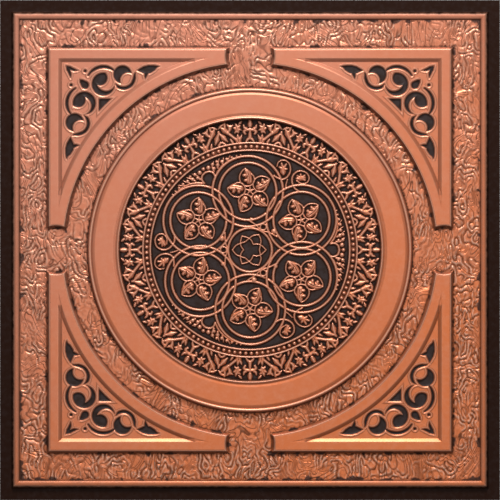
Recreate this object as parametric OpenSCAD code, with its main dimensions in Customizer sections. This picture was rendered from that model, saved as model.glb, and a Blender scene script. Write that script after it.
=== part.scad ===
// Pressed tin ceiling tile: one square of thin sheet steel, embossed from behind and laid face up.
// Lengths are millimetres. The back of the flange is z = 0 and the tile's centre is the origin.
// The sheet is the solid under its face less the same solid drawn one sheet thickness lower.

/* [Sheet] */
// Width and length of the square tile over its flange
tile_w = 603; // [560:1:640]
// Thickness of the sheet steel
sheet_t = 0.4; // [0.3:0.05:0.7]
// Width of the flat flange that lies on the ceiling grid
flange_w = 14; // [8:0.5:20]
// Lean of the pressed walls from vertical, in degrees
draft = 29; // [15:1:40]

/* [Border moulding] */
// Width of the rounded border moulding from foot to foot
border_w = 10; // [6:0.5:16]
// Rise of its crest above the hammered field
border_h = 2.6; // [1:0.1:5]

/* [Hammered field] */
// Rise of the field above the flange
field_h = 3.5; // [2:0.1:6]
// Strip of field between the border moulding and the corner plates
field_strip = 33; // [20:1:45]
// Strip of field between the round moulding and the corner plates
arc_strip = 26.5; // [15:0.5:40]

/* [Corner plates] */
// Rise of the corner plates above the field
plate_h = 5; // [3.5:0.1:7]
// Width of the flat band round each plate's pocket
band_w = 11; // [7:0.2:16]
// Radius of the hollow that parts two plates at the middle of a side
notch_r = 27; // [18:1:36]
// Depth of the pocket sunk into each plate
pocket_d = 2.6; // [1:0.1:3.2]
// Lean of the pocket walls from vertical, in degrees
pocket_draft = 60; // [30:1:68]

/* [Corner scrolls] */
// Depth of the scrollwork below the floor of a pocket
scroll_d = 1.9; // [0.5:0.1:2.2]
// Radius of the larger scroll
scroll_r = 14; // [10:0.5:16]
// Distance of its centre from the pocket's nearer side
scroll_in = 26.5; // [22:0.5:32]
// Distance of its centre from the pocket's corner, along that side
scroll_along = 49.8; // [45:0.2:58]
// Length of the leaf that ends the scrollwork
tail_l = 32; // [20:1:38]

/* [Round moulding] */
// Outer radius of the round moulding at its foot
ring_r = 196; // [170:1:210]
// Width of the whole round moulding from foot to foot
ring_w = 39; // [30:1:50]
// Width of the half-round bead on its outer edge
bead_w = 5.6; // [3:0.2:8]
// Rise of that bead above the flat ring
bead_h = 1.4; // [0.5:0.1:3]
// Rise of the flat ring above the field
ring_h = 5.2; // [2:0.1:8]
// Width of the lip on the inner edge of the ring
lip_w = 4.6; // [3:0.2:8]
// Width of the slope between the flat ring and each bead or lip
cove_w = 3.6; // [2:0.2:5]
// Depth of the groove at the bottom of that slope
cove_d = 0.8; // [0.2:0.1:1.5]
// Width of the flat bottom of that groove
groove_w = 0.8; // [0.4:0.1:1.5]

/* [Pearl band] */
// Rise of the medallion's ground above the flange
ground_h = 3; // [1:0.1:6]
// Radius of the outer rail of the pearl band at its crest
rail_r = 129; // [115:1:140]
// Distance between the crests of the two rails
rail_gap = 8.9; // [6:0.1:12]
// Number of pearls between the rails
pearls = 117; // [60:1:140]
// Diameter of one pearl
pearl_d = 3.8; // [2:0.1:5.2]

/* [Tracery] */
// Width of a raised line
line_w = 2.4; // [1.5:0.1:4]
// Rise of the lines, leaves and pearls above the medallion's ground
line_h = 2.2; // [1:0.1:3]
// Number of round lobes about the centre
lobes = 6; // [4:1:8]
// Radius of the outer line of a lobe at its crest
lobe_r = 42.8; // [30:0.2:50]
// Distance between the two lines of a lobe
lobe_gap = 9.6; // [6:0.2:14]
// Clear ground between the lobes and the inner rail
lobe_clear = 3.6; // [1:0.2:8]
// Radius of the star in the centre, to the tips of its smaller arms
star_r = 19; // [14:0.5:22]
// Radius of the star's waist between those arms
star_waist = 7.5; // [5:0.5:12]
// Number of leaf buds in a lobe
buds = 5; // [3:1:6]
// Distance of the buds from the middle of their lobe
bud_at = 17.3; // [14:0.5:19]
// Length of a bud
bud_l = 15; // [9:0.5:16]

/* [Foliate band] */
// Number of times the band's pattern repeats round the medallion
repeats = 12; // [8:1:16]

/* [Hidden] */
$fn = 128;

below = 3;       // how far the solids run on under z = 0 before they are cut off
over = 2;        // how far a wall runs on past the face it cuts
lines_meet = 0.8; // share of a line's width between two lines that run into each other
rail_w = 3.2;    // foot width of a rail of the pearl band
rail_top = 1.2;  // flat width on top of it
root = sheet_t / 2; // how deep the fine ornament is set into the sheet under it
copper = [0.78, 0.49, 0.35];

half = tile_w / 2;
z_flange = sheet_t;
z_field = z_flange + field_h;
z_plate = z_field + plate_h;
z_pocket = z_plate - pocket_d;
z_ring = z_field + ring_h;
z_ground = z_flange + ground_h;
far = tile_w;

border_out = half - flange_w;
border_in = border_out - border_w;
plate_out = border_in - field_strip;
plate_arc = ring_r + arc_strip;
plate_lean = plate_h * tan(draft);
pocket_lean = pocket_d * tan(pocket_draft);
pocket_out = plate_out - plate_lean - band_w;
pocket_arc = plate_arc + plate_lean + band_w;

rail_in = rail_r - rail_gap;
lobe_at = rail_in - rail_w / 2 - lobe_clear - line_w / 2 - lobe_r;
centre_r = lobe_at - lobe_r - line_w * lines_meet;
curl_r = rail_gap * 0.85;

// Point at a radius and an angle
function at(r, a) = [r * cos(a), r * sin(a)];

// Unit vector that points up from a path running outward
function up(v) = [-v[1], v[0]] / norm(v);

// The path moved square to itself by s, away from the face
function sunk(p, s) = [
    for (i = [0 : len(p) - 1])
        let (
            a = up(i > 0 ? p[i] - p[i - 1] : p[1] - p[0]),
            b = up(i < len(p) - 1 ? p[i + 1] - p[i] : p[i] - p[i - 1])
        )
        p[i] - s * (a + b) / (1 + a * b)
];

// Outline of everything under a path of [distance from the centre, height]
module under(path, s, stretch = 1) {
    p = sunk(path, s);
    polygon([
        [0, -below],
        for (q = p) [q[0] * stretch, q[1]],
        [p[len(p) - 1][0] * stretch, -below]
    ]);
}

// Outline of the sheet that follows a path
module skin(path, stretch = 1) {
    q = sunk(path, sheet_t);
    n = len(path);
    polygon([
        for (p = path) [p[0] * stretch, p[1]],
        for (i = [n - 1 : -1 : 0]) [q[i][0] * stretch, q[i][1]]
    ]);
}

module round_hill(path, s) {
    rotate_extrude() under(path, s);
}

module square_hill(path, s) {
    rotate([0, 0, 45]) rotate_extrude($fn = 4) under(path, s, sqrt(2));
}

// Half-round arch between two feet, as path points from the inner foot to the outer
function arch(x0, x1, z, h, steps = 6) = [
    for (a = [180 : -180 / steps : 0])
        [(x0 + x1) / 2 + (x1 - x0) / 2 * cos(a), z + h * sin(a)]
];

// Raised line of a round path, as path points
function rail(r) = [
    [r - rail_w / 2, z_ground],
    [r - rail_top / 2, z_ground + line_h],
    [r + rail_top / 2, z_ground + line_h],
    [r + rail_w / 2, z_ground]
];

// Flange, border moulding and field
border_wall = field_h * tan(draft);
border_path = concat(
    [[0, z_field]],
    arch(border_in, border_out - border_wall, z_field, border_h),
    [[border_out, z_flange], [half, z_flange]]
);

// Medallion ground, pearl rails and round moulding
ring_in = ring_r - ring_w;
lip_top = ring_in + lip_w / 2;
ring_path = concat(
    [[0, z_ground]],
    rail(rail_in),
    rail(rail_r),
    [[ring_in, z_ground]],
    [[ring_in + lip_w * 0.3, z_ring + cove_d * 0.6], [lip_top, z_ring + cove_d], [ring_in + lip_w * 0.75, z_ring]],
    [[ring_in + lip_w, z_ring - cove_d], [ring_in + lip_w + groove_w, z_ring - cove_d]],
    [[ring_in + lip_w + cove_w, z_ring], [ring_r - bead_w - cove_w, z_ring]],
    [[ring_r - bead_w - groove_w, z_ring - cove_d], [ring_r - bead_w, z_ring - cove_d]],
    [[ring_r - bead_w * 0.85, z_ring + bead_h * 0.6], [ring_r - bead_w * 0.6, z_ring + bead_h]],
    [[ring_r - bead_w * 0.4, z_ring + bead_h * 0.75], [ring_r, z_field], [ring_r + over, z_field]]
);

module field_sheet() {
    difference() {
        rotate([0, 0, 45]) rotate_extrude($fn = 4) skin(border_path, sqrt(2));
        cylinder(r = ring_r + over / 2, h = z_ring);
    }
}

module round_sheet() {
    rotate_extrude() skin(ring_path);
}

// The four corner plates: what lies inside the outer square and outside the arc, less pockets
module plain_plates(s) {
    lean = tan(draft);
    outer = [
        [0, z_plate], [plate_out - plate_lean, z_plate],
        [plate_out + over * lean, z_field - over]
    ];
    arc = [
        [0, z_field - over], [plate_arc - over * lean, z_field - over],
        [plate_arc + plate_lean, z_plate], [far, z_plate]
    ];
    slope = tan(pocket_draft);
    bowl_out = [
        [0, z_pocket], [pocket_out - pocket_lean, z_pocket],
        [pocket_out + over * slope, z_plate + over], [far, z_plate + over]
    ];
    bowl_arc = [
        [0, z_plate + over], [pocket_arc - over * slope, z_plate + over],
        [pocket_arc + pocket_lean, z_pocket], [far, z_pocket]
    ];
    difference() {
        intersection() {
            square_hill(outer, s);
            round_hill(arc, s);
            union() {
                square_hill(bowl_out, s);
                round_hill(bowl_arc, s);
            }
        }
        for (a = [0 : 90 : 270])
            rotate([0, 0, a])
                translate([(plate_out + plate_arc) / 2, 0, z_field - over])
                    cylinder(
                        r1 = notch_r - over * lean + s / cos(draft),
                        r2 = notch_r + (plate_h + over) * lean + s / cos(draft),
                        h = plate_h + 2 * over
                    );
    }
}

// Lens where two equal circles cross: length l, greatest width w, both larger all round by g
module lens(l, w, g = 0) {
    r = (l * l + w * w) / (4 * w);
    intersection() {
        translate([0, r - w / 2]) circle(r + g);
        translate([0, w / 2 - r]) circle(r + g);
    }
}

// Part of a round channel between two angles, with round ends a little wider than itself
module channel(r, w, a0, a1, g) {
    far_r = 2 * (r + w);
    mid = (a0 + a1) / 2;
    intersection() {
        difference() {
            circle(r + w / 2 + g);
            circle(r - w / 2 - g);
        }
        polygon([[0, 0], for (a = [a0, mid, a1]) at(far_r, a)]);
    }
    for (a = [a0, a1]) translate(at(r, a)) circle(w * 0.6 + g);
}

// Comma: a disc less a crescent that opens towards angle a
module comma(r, a, g) {
    difference() {
        circle(r + g);
        difference() {
            translate(at(r * 0.36, a + 180)) circle(r * 0.78 - g);
            translate(at(r * 0.42, a)) circle(r * 0.7 + g);
        }
    }
}

// Half of one corner's scrollwork, with the pocket's corner as origin and its sides along -x and -y
module scrolls(g) {
    small_r = scroll_r * 0.7;
    small = [-scroll_along - scroll_r * 1.62, -scroll_in + scroll_r * 0.64];
    translate([-scroll_along, -scroll_in]) {
        comma(scroll_r, 40, g);
        channel(scroll_r * 1.47, scroll_r * 0.26, 38, 122, g);
    }
    translate(small) {
        comma(small_r, 35, g);
        channel(small_r * 1.42, small_r * 0.3, 165, 292, g);
        translate([-small_r * 1.2 - tail_l / 2, small_r * 0.85]) rotate(-8) lens(tail_l, tail_l * 0.24, g);
        translate([-small_r * 2.1, small_r * 0.35]) rotate(72) lens(tail_l * 0.36, tail_l * 0.14, g);
    }
    translate([-scroll_in * 0.7, -scroll_in * 0.39]) rotate(25) lens(scroll_in * 0.32, scroll_in * 0.13, g);
}

// Whole scrollwork of one corner
module corner_scrolls(g) {
    c = pocket_out - pocket_lean;
    k = pocket_arc + pocket_lean;
    inner = c - scroll_in - scroll_r * 1.2;
    translate([c, c]) {
        scrolls(g);
        mirror([1, -1]) scrolls(g);
        rotate(45) translate([-scroll_in * sqrt(2), 0]) {
            circle(scroll_in * 0.21 + g);
            translate([scroll_in * 0.16, 0]) lens(scroll_in * 0.5, scroll_in * 0.26, g);
        }
        rotate(45) translate([-scroll_in * 0.45, 0]) lens(scroll_in * 0.6, scroll_in * 0.24, g);
    }
    difference() {
        square(inner + g);
        circle(k + scroll_r * 0.3 - g, $fn = 360);
    }
}

module scroll_cuts(s) {
    for (a = [0 : 90 : 270])
        rotate([0, 0, a])
            translate([0, 0, z_pocket - scroll_d - s]) linear_extrude(plate_h) corner_scrolls(s);
}

module plates(s) {
    difference() {
        plain_plates(s);
        scroll_cuts(s);
    }
}

// Raised line round a circle
module ring_line(r, w = line_w) {
    difference() {
        circle(r + w / 2);
        circle(r - w / 2);
    }
}

// Straight raised line from p to q with round ends
module bar_line(p, q) {
    v = q - p;
    translate(p) rotate(atan2(v[1], v[0])) translate([0, -line_w / 2]) square([norm(v), line_w]);
    for (e = [p, q]) translate(e) circle(line_w / 2);
}

// Two interlaced three-armed stars inside the centre circle
module star() {
    for (i = [0 : 2]) {
        bar_line(at(star_r, 120 * i), at(star_waist, 120 * i + 60));
        bar_line(at(star_waist, 120 * i + 60), at(star_r, 120 * i + 120));
        bar_line(at(centre_r, 120 * i + 60), at(centre_r, 120 * i + 180));
    }
}

// Leaf bud: a plump leaf set a little askew, its tip towards the outside
module bud() {
    rotate(20) lens(bud_l, bud_l * 0.55);
}

module lobe() {
    ring_line(lobe_r);
    ring_line(lobe_r - lobe_gap);
    circle(line_w * 0.65);
    for (i = [0 : buds - 1]) rotate(360 / buds * (i + 0.2)) translate([bud_at, 0]) bud();
}

// Pair of round curls in every other gap between two lobes, under the rail
module gap_curls() {
    for (side = [-1, 1]) rotate(side * 6.7) translate([rail_in - rail_gap * 1.6, 0]) ring_line(curl_r, line_w * 0.65);
}

module tracery() {
    for (i = [0 : lobes - 1]) rotate(90 + 360 / lobes * i) translate([lobe_at, 0]) lobe();
    for (i = [0 : 2]) rotate(120 * i + 60) gap_curls();
    ring_line(centre_r);
    star();
}

// Half of one repeat of the foliate band, in polar points: r runs from 0 at the rail to 1 at the lip
module band_half() {
    foot = rail_r + rail_w * 0.3;
    tall = ring_in - foot;
    step = 360 / repeats;
    function leaf(r, a) = at(foot + tall * r, step * a);
    polygon([leaf(0.14, -0.01), leaf(1, -0.03), leaf(1, 0.03), leaf(0.55, 0.025), leaf(0.5, 0.1),
             leaf(0.35, 0.085), leaf(0.42, 0.02), leaf(0.25, 0.02), leaf(0.12, 0.075)]);
    polygon([leaf(0, 0.14), leaf(0.3, 0.13), leaf(0.2, 0.19), leaf(0.22, 0.25), leaf(0.48, 0.34),
             leaf(0.95, 0.44), leaf(0.6, 0.44), leaf(0.45, 0.36), leaf(0.15, 0.26), leaf(0, 0.26)]);
    polygon([leaf(0.4, 0.16), leaf(0.55, 0.18), leaf(0.7, 0.15), leaf(0.68, 0.19), leaf(0.84, 0.22),
             leaf(0.6, 0.23), leaf(0.42, 0.27), leaf(0.48, 0.21)]);
    polygon([leaf(0.1, 0.38), leaf(0.28, 0.39), leaf(0.46, 0.48), leaf(0.25, 0.43), leaf(0.1, 0.46),
             leaf(0.2, 0.415)]);
}

module foliate_band() {
    for (i = [0 : repeats - 1])
        rotate(360 / repeats * i) {
            band_half();
            mirror([0, 1]) band_half();
        }
}

module pearl_band() {
    for (i = [0 : pearls - 1])
        rotate(360 / pearls * i) translate([rail_r - rail_gap / 2, 0]) circle(d = pearl_d);
}

// All that stands on the medallion's ground between the lip and the centre
module fine_ornament() {
    translate([0, 0, z_ground - root])
        linear_extrude(line_h + root) {
            tracery();
            pearl_band();
            foliate_band();
        }
}

// The field with the plates standing on it, hollow behind
module plated_field() {
    difference() {
        union() {
            field_sheet();
            intersection() {
                plates(0);
                translate([-half, -half, z_field - sheet_t]) cube([tile_w, tile_w, 2 * plate_h]);
            }
        }
        plates(sheet_t);
    }
}

module pressed_sheet() {
    color(copper) {
        plated_field();
        round_sheet();
        fine_ornament();
    }
}

pressed_sheet();
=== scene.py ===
"""Looks of a pressed tin ceiling tile: the same forms as its solid, with the fine relief, the
hammered field and the worn copper finish, with shade and highlights painted into its colour. Working lengths
are millimetres until a mesh is made."""

import math

import bpy
import numpy as np
from mathutils.geometry import delaunay_2d_cdt
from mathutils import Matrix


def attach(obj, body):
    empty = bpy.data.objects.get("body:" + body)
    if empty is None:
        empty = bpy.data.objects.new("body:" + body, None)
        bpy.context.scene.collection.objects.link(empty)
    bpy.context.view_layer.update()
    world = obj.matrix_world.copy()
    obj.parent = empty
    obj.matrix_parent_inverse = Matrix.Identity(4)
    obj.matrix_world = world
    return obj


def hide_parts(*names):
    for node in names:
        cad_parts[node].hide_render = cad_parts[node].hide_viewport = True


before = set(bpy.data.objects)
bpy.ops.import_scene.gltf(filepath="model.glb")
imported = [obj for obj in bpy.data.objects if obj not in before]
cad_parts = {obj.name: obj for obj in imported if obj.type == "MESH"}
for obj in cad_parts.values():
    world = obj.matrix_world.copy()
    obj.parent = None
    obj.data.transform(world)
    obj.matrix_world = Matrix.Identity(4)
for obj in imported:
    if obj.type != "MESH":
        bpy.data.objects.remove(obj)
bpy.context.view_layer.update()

MM = 0.001
UNIT = 1.2065  # millimetres of the tile to one unit of the ornament's drawing

# Sizes, as the solid has them
TILE_W = 603.0
SHEET_T = 0.4
FLANGE_W = 14.0
BORDER_W = 10.0
BORDER_H = 2.6
FIELD_H = 3.5         # the field's height over the flange
FIELD_STRIP = 33.0    # field between the border and the plates
ARC_STRIP = 26.5      # field between the ring and the plates
PLATE_H = 5.0
BAND_W = 11.0         # flat band round a plate's pocket
NOTCH_R = 27.0
POCKET_D = 2.6
SCROLL_D = 1.9
RING_R = 196.0
RING_W = 39.0
RING_H = 5.2
BEAD_W = 5.6
BEAD_H = 1.4
LIP_W = 4.6
COVE_W = 3.6
COVE_D = 0.8
GROOVE_W = 0.8
GROUND_H = 3.0        # the medallion's ground over the flange
RAIL_R = 129.0
RAIL_GAP = 8.9
RAIL_W = 3.2
RAIL_TOP = 1.2
PEARLS = 117
PEARL_D = 4.4
PEARL_H = 2.2
LINE_H = 2.2
LEAF_H = 2.2
LEAN = math.tan(math.radians(29.0))
POCKET_LEAN = POCKET_D * math.tan(math.radians(60.0))

HALF = TILE_W / 2
Z_FLANGE = SHEET_T
Z_FIELD = Z_FLANGE + FIELD_H
Z_PLATE = Z_FIELD + PLATE_H
Z_POCKET = Z_PLATE - POCKET_D
Z_RING = Z_FIELD + RING_H
Z_GROUND = Z_FLANGE + GROUND_H
BORDER_OUT = HALF - FLANGE_W
BORDER_IN = BORDER_OUT - BORDER_W
PLATE_OUT = BORDER_IN - FIELD_STRIP
PLATE_ARC = RING_R + ARC_STRIP
PLATE_LEAN = PLATE_H * LEAN
POCKET_OUT = PLATE_OUT - PLATE_LEAN - BAND_W
POCKET_ARC = PLATE_ARC + PLATE_LEAN + BAND_W
NOTCH_AT = (PLATE_OUT + PLATE_ARC) / 2
RING_IN = RING_R - RING_W
RAIL_IN = RAIL_R - RAIL_GAP
DISC_R = RAIL_IN - RAIL_W / 2

# Mesh density
RINGS = 192           # rings of the medallion's mesh, six more points on each
COLUMNS = 6 * RINGS   # points round every circle outside it
FIELD_STEP = 1.2      # spacing of points in the hammered field
POCKET_STEP = 0.95    # and in the scrollwork
FLAT_STEP = 5.0       # and on the flats
LINE_STEP = 1.15      # spacing along the edges and walls
BAND_ROWS = 0.8       # widest rows of the leaf band
RING_ROWS = 3.2       # and of the ring moulding

# Fine relief that the solid leaves out
WALL_EASE = 0.9       # rounding of the plates' edges
POCKET_EASE = 0.6     # and of their pockets
POCKET_FOOT = 0.9     # share of the pocket wall's lean where its foot lies
RIM_IN = 0.85         # the fine groove inside a plate's arris
RIM_HALF = 0.6
RIM_D = 0.25
RIM_STEPS = (0.45, 0.85, 1.25, 1.7)
RIM_REACH = 2.4
SCROLL_RIM_H = 0.45
SCROLL_RIM_AT = 0.8
SCROLL_RIM_W = 0.75
HAMMER_H = 0.98
LUMP_H = 1.1          # the swelling of the field in each notch
LUMP_R = 13.0
LUMP_SHIFT = 4.0
FIELD_EASE = 2.5


# Small number helpers
def smooth(t):
    t = np.clip(t, 0.0, 1.0)
    return t * t * (3 - 2 * t)


def ramp(x, lo, hi):
    return smooth((x - lo) / (hi - lo))


def polar(r, degrees):
    a = np.radians(degrees)
    return np.stack([r * np.cos(a), r * np.sin(a)], -1)


def lattice_noise(x, y, seed):
    """Smooth gradient noise, about -0.7 to 0.7, with one cell to a unit."""
    rng = np.random.default_rng(seed)
    turn = rng.uniform(0, 2 * np.pi, (256, 256))
    gx, gy = np.cos(turn), np.sin(turn)
    x0, y0 = np.floor(x).astype(int), np.floor(y).astype(int)
    fx, fy = x - x0, y - y0
    total = 0.0
    for i in (0, 1):
        for j in (0, 1):
            u, v = (x0 + i) & 255, (y0 + j) & 255
            dot = gx[u, v] * (fx - i) + gy[u, v] * (fy - j)
            wx = fx if i else 1 - fx
            wy = fy if j else 1 - fy
            wx = wx**3 * (wx * (6 * wx - 15) + 10)
            wy = wy**3 * (wy * (6 * wy - 15) + 10)
            total = total + wx * wy * dot
    return total


def clouds(x, y, seed, octaves=3):
    total, size = 0.0, 1.0
    for k in range(octaves):
        total = total + size * lattice_noise(x * 2**k, y * 2**k, seed + k)
        size *= 0.5
    return total


# Profiles
def rounded(path, reach=0.55, steps=4):
    """The path with each corner eased over a short reach on both sides."""
    path = [np.array(p, float) for p in path]
    out = [path[0]]
    for a, b, c in zip(path, path[1:], path[2:]):
        ra = min(reach, np.linalg.norm(a - b) * 0.45)
        rc = min(reach, np.linalg.norm(c - b) * 0.45)
        p = b + (a - b) / np.linalg.norm(a - b) * ra
        q = b + (c - b) / np.linalg.norm(c - b) * rc
        for t in np.linspace(0, 1, steps):
            out.append((1 - t) ** 2 * p + 2 * t * (1 - t) * b + t * t * q)
    out.append(path[-1])
    return np.array(out)


def arch(x0, x1, z, h, steps=12):
    a = np.radians(np.linspace(180, 0, steps + 1))
    return [((x0 + x1) / 2 + (x1 - x0) / 2 * math.cos(t), z + h * math.sin(t)) for t in a]


def rail(r):
    return [
        (r - RAIL_W / 2, Z_GROUND),
        (r - RAIL_TOP / 2, Z_GROUND + LINE_H),
        (r + RAIL_TOP / 2, Z_GROUND + LINE_H),
        (r + RAIL_W / 2, Z_GROUND),
    ]


ROUND_PATH = rounded(
    [(0, Z_GROUND)]
    + rail(RAIL_IN)
    + rail(RAIL_R)
    + [
        (RING_IN, Z_GROUND),
        (RING_IN + LIP_W * 0.3, Z_RING + COVE_D * 0.6),
        (RING_IN + LIP_W / 2, Z_RING + COVE_D),
        (RING_IN + LIP_W * 0.75, Z_RING),
        (RING_IN + LIP_W, Z_RING - COVE_D),
        (RING_IN + LIP_W + GROOVE_W, Z_RING - COVE_D),
        (RING_IN + LIP_W + COVE_W, Z_RING),
        (RING_R - BEAD_W - COVE_W, Z_RING),
        (RING_R - BEAD_W - GROOVE_W, Z_RING - COVE_D),
        (RING_R - BEAD_W, Z_RING - COVE_D),
        (RING_R - BEAD_W * 0.85, Z_RING + BEAD_H * 0.6),
        (RING_R - BEAD_W * 0.6, Z_RING + BEAD_H),
        (RING_R - BEAD_W * 0.4, Z_RING + BEAD_H * 0.75),
        (RING_R, Z_FIELD),
        (RING_R + 8, Z_FIELD),
    ]
)
SQUARE_PATH = rounded(
    [(0, Z_FIELD)]
    + arch(BORDER_IN, BORDER_OUT - FIELD_H * LEAN, Z_FIELD, BORDER_H)
    + [(BORDER_OUT, Z_FLANGE), (HALF, Z_FLANGE)]
)
OUTER_WALL = rounded(
    [(0, Z_PLATE), (PLATE_OUT - PLATE_LEAN, Z_PLATE), (PLATE_OUT, Z_FIELD), (HALF, Z_FIELD)], WALL_EASE)
ARC_WALL = rounded(
    [(0, Z_FIELD), (PLATE_ARC, Z_FIELD), (PLATE_ARC + PLATE_LEAN, Z_PLATE), (TILE_W, Z_PLATE)], WALL_EASE)
NOTCH_WALL = rounded(
    [(0, Z_FIELD), (NOTCH_R, Z_FIELD), (NOTCH_R + PLATE_LEAN, Z_PLATE), (TILE_W, Z_PLATE)], WALL_EASE)
POCKET_WALL = rounded(
    [(0, Z_POCKET), (POCKET_OUT - POCKET_FOOT * POCKET_LEAN, Z_POCKET),
     (POCKET_OUT, Z_PLATE), (HALF, Z_PLATE)],
    POCKET_EASE)
POCKET_CURVE = rounded(
    [(0, Z_PLATE), (POCKET_ARC, Z_PLATE),
     (POCKET_ARC + POCKET_FOOT * POCKET_LEAN, Z_POCKET), (TILE_W, Z_POCKET)],
    POCKET_EASE)


def follow(path, x):
    return np.interp(x, path[:, 0], path[:, 1])


# Drawing in relief
STROKE_STEPS = 8


def near(x, y, pts, margin):
    lo, hi = pts.min(0) - margin, pts.max(0) + margin
    return np.nonzero((x > lo[0]) & (x < hi[0]) & (y > lo[1]) & (y < hi[1]))[0]


def stroke_depth(x, y, pts, widths):
    """How far inside a stroke each point lies, as a share of its half width (below 0 outside),
    and the half width there."""
    best = np.full(x.shape, -9.0)
    width = np.ones(x.shape)
    for (a, wa), (b, wb) in zip(zip(pts, widths), zip(pts[1:], widths[1:])):
        v = b - a
        t = np.clip(((x - a[0]) * v[0] + (y - a[1]) * v[1]) / max(v @ v, 1e-9), 0, 1)
        d = np.hypot(x - a[0] - t * v[0], y - a[1] - t * v[1])
        w = wa + (wb - wa) * t
        inside = 1 - d / w
        take = inside > best
        best = np.where(take, inside, best)
        width = np.where(take, w, width)
    return best, width


def curve(points, n=10):
    """A smooth line through the points."""
    p = np.array(points, float)
    if len(p) < 3:
        return np.array([p[0] + (p[-1] - p[0]) * t for t in np.linspace(0, 1, 3)])
    ext = np.vstack([2 * p[0] - p[1], p, 2 * p[-1] - p[-2]])
    out = []
    for a, b, c, d in zip(ext, ext[1:], ext[2:], ext[3:]):
        for t in np.linspace(0, 1, n, endpoint=False):
            square = (2 * a - 5 * b + 4 * c - d) * t**2
            out.append(0.5 * (2 * b + (c - a) * t + square + (3 * b - a - 3 * c + d) * t**3))
    out.append(p[-1])
    return np.array(out)


class Relief:
    """Raised work over a set of points: height above the ground."""

    def __init__(self, x, y):
        self.x, self.y = x, y
        self.h = np.zeros(x.shape)

    def stroke(self, points, w0, w1=None, h=1.0, mid=None):
        """A rounded ridge along the points. Half widths run from w0 to w1, through mid half way."""
        w1 = w0 if w1 is None else w1
        pts = curve(points, STROKE_STEPS)
        t = np.linspace(0, 1, len(pts))
        widths = w0 + (w1 - w0) * t if mid is None else np.interp(t, [0, 0.5, 1], [w0, mid, w1])
        widths = np.maximum(widths, 0.05)
        i = near(self.x, self.y, pts, widths.max())
        if not len(i):
            return
        inside, width = stroke_depth(self.x[i], self.y[i], pts, widths)
        u = np.clip(inside, 0, 1)
        shape = np.sin(u * np.pi / 2) ** 0.75 * np.minimum(1, width / (0.45 * widths.max())) ** 0.5
        self.lift(i, h * shape)

    def lift(self, i, z):
        self.h[i] = np.maximum(self.h[i], z)

    def ring(self, c, r, w, h=1.0, dip=None):
        d = np.abs(np.hypot(self.x - c[0], self.y - c[1]) - r)
        i = np.nonzero(d < w)[0]
        z = h * np.sin((1 - d[i] / w) * np.pi / 2) ** 0.75
        self.lift(i, z if dip is None else z * dip(self.x[i], self.y[i]))

    def ball(self, c, r, h=1.0):
        d = np.hypot(self.x - c[0], self.y - c[1])
        i = np.nonzero(d < r)[0]
        self.lift(i, h * np.sqrt(1 - (d[i] / r) ** 2))

    def groove(self, points, w, depth):
        """A line scored into what is already there."""
        pts = curve(points, 6)
        i = near(self.x, self.y, pts, w)
        if len(i):
            inside, _ = stroke_depth(self.x[i], self.y[i], pts, np.full(len(pts), w))
            cut = 1 - depth * np.sin(np.clip(inside, 0, 1) * np.pi / 2)
            self.h[i] *= cut


def placed(points, c, degrees, flip=1):
    """The points mirrored by flip, turned about the origin and moved to c."""
    a = math.radians(degrees)
    p = np.array(points, float)
    p[:, 1] *= flip
    return np.stack([c[0] + p[:, 0] * math.cos(a) - p[:, 1] * math.sin(a),
                     c[1] + p[:, 0] * math.sin(a) + p[:, 1] * math.cos(a)], -1)


# Medallion, in drawing units
LOBES, LOBE_AT = 6, 59.2
LINE = 1.5
CENTRE_R = 21.8
# the even and the odd lobes: shift of their centre outwards and sideways, outer and inner radius
LOBE_FORMS = ((0.2, 0.3, 34.9, 28.0), (-0.7, 2.3, 35.2, 28.6))
UNDER_D, UNDER_R = 0.6, 2.1   # how far and how wide a line dips where it passes under another

# a leaf bud, its tip along x: its outline, the leaf in it, and the leaf's scallops as (x, y, half width)
BUDS, BUD_AT, BUD_TURN = 5, 12.6, 15
BUD_LINE = ((10.0, -1.0), (8.2, 2.6), (4.0, 6.3), (-2.0, 6.9), (-6.9, 3.2), (-7.7, -2.2), (-4.9, -6.4),
            (-0.4, -7.3), (3.2, -5.8))
BUD_LEAF = ((-3.2, -1.8), (1.4, -2.0), (5.8, -2.0), (10.4, -1.4))
BUD_SCALLOPS = ((-1.8, 1.8, 1.9), (3.4, 2.0, 1.8))
# its veins: points, half width, depth
BUD_VEINS = (
    (((0.9, 3.4), (0.6, 0.8), (1.8, -1.4)), 0.7, 0.55),
    (((6.2, 1.6), (5.4, -0.4)), 0.6, 0.4),
    (((-5.4, -1.4), (-1.0, -2.6), (4.6, -2.8), (8.6, -1.8)), 0.6, 0.35),
)

# two loops in the gap at 60 degrees: line, leaf, the leaf's half widths, its heart, tips and their width
GAP_LOOPS = (
    (((24, 74), (27.2, 72.1), (32.2, 70.3), (37.4, 73.1), (40.3, 79.1), (39.2, 85.9), (34.2, 89.6),
      (28.6, 87.8), (27, 83.4)),
     ((33.4, 75.4), (33, 78.4), (32.6, 82)), (1.2, 2.4, 3.2),
     (33, 80.6), ((29.4, 82.6), (31.6, 86.4), (36, 85.4), (36.6, 80.8)), 1.2),
    (((50.6, 57.6), (44.6, 61.6), (41.9, 68.6), (43.4, 75), (49.2, 78.9), (56, 77.1), (59, 72.1),
      (57, 67.3), (51.4, 66.3), (46.6, 69)),
     ((47.2, 71.2), (50, 71.4), (53.6, 72)), (1.8, 2.6, 3.0),
     (51, 71.6), ((47.4, 73.8), (50.6, 75.4), (54.6, 74.4), (55, 69.6)), 1.1),
)
GAP_LINK = ((35.5, 61.5), (36.2, 66), (37.4, 70.2))
# brackets under them, as (radius, degrees from the gap)
GAP_BRACKET = ((30.2, 34), (25.6, 17), (22.6, 2), (24.2, -6))

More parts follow.
